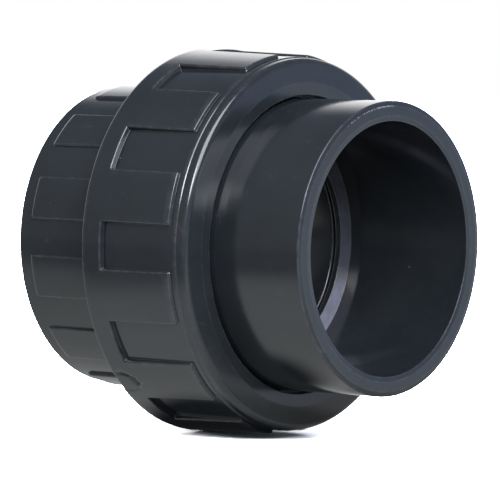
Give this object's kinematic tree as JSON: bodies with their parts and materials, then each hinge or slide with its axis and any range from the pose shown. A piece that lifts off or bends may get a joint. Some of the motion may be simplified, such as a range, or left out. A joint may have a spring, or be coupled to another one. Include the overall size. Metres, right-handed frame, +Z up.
{
  "type": "pipe union",
  "caption": "Pipe union with plain sockets at both ends, drawn together by a castellated ring nut and sealed by a face O-ring.",
  "frame": {"origin": "on the pipe axis, half way along the union when it is screwed home", "axes": "+X along the pipe axis towards the end connector's mouth, +Z up"},
  "size_m": [0.089, 0.0974, 0.0974],
  "materials": {
    "pvc": "semi-gloss dark grey moulded PVC-U",
    "epdm": "matt black moulded EPDM"
  },
  "bodies": {
    "body": {"union_body": "pvc", "o_ring": "epdm"},
    "connector": {"end_connector": "pvc"},
    "nut": {"union_nut": "pvc"}
  },
  "joints": [
    {"name": "connector_slide", "type": "slide", "parent": "body", "child": "connector", "axis": [1, 0, 0], "range_m": [0, 0.0191]},
    {"name": "nut_spin", "type": "hinge", "parent": "connector", "child": "nut", "pos_m": [0, 0, 0], "axis": [1, 0, 0], "range_deg": [0, 1710]}
  ],
  "couplings": [
    {"joint": "connector_slide", "follows": "nut_spin", "m_per_rad": 0.00063662}
  ]
}
